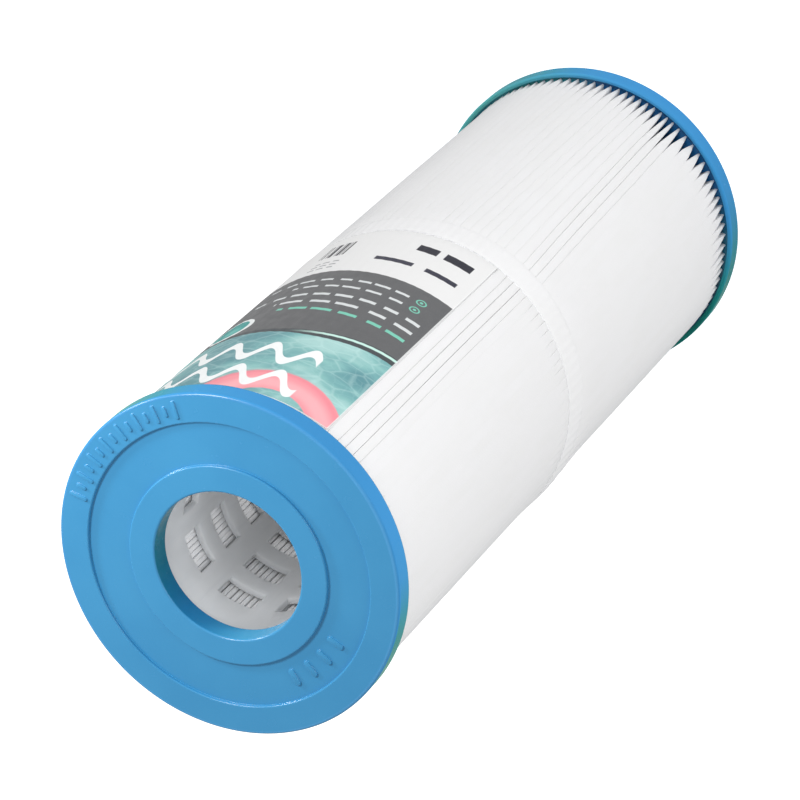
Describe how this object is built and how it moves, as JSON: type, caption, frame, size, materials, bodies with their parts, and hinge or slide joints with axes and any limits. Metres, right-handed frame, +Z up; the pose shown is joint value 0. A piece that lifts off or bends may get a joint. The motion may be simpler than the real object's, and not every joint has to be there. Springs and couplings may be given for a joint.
{
  "type": "filter cartridge",
  "caption": "Cylindrical pleated filter cartridge for a pool or spa pump, with cast end caps, a perforated core open at both ends, a strap round the pleats and a film label.",
  "frame": {"origin": "centre of the lower end cap's outer face, which the cartridge stands on", "axes": "+Z up along the cartridge's axis, towards the upper end cap; the label faces -Y"},
  "size_m": [0.125, 0.125, 0.338],
  "materials": {
    "end_cap_urethane": "satin blue cast urethane",
    "core_plastic": "matte white",
    "pleat_fabric": "white non-woven polyester",
    "seam_bead": "milky hot melt",
    "band_fabric": "white non-woven strap",
    "band_adhesive": "milky hot melt",
    "label_film": "printed film"
  },
  "bodies": {
    "root": {"top_end_cap": "end_cap_urethane", "bottom_end_cap": "end_cap_urethane", "core_tube": "core_plastic", "pleated_media": "pleat_fabric", "media_seam_bead": "seam_bead", "mid_band": "band_fabric", "band_seam_adhesive": "band_adhesive", "label": "label_film"}
  },
  "joints": []
}
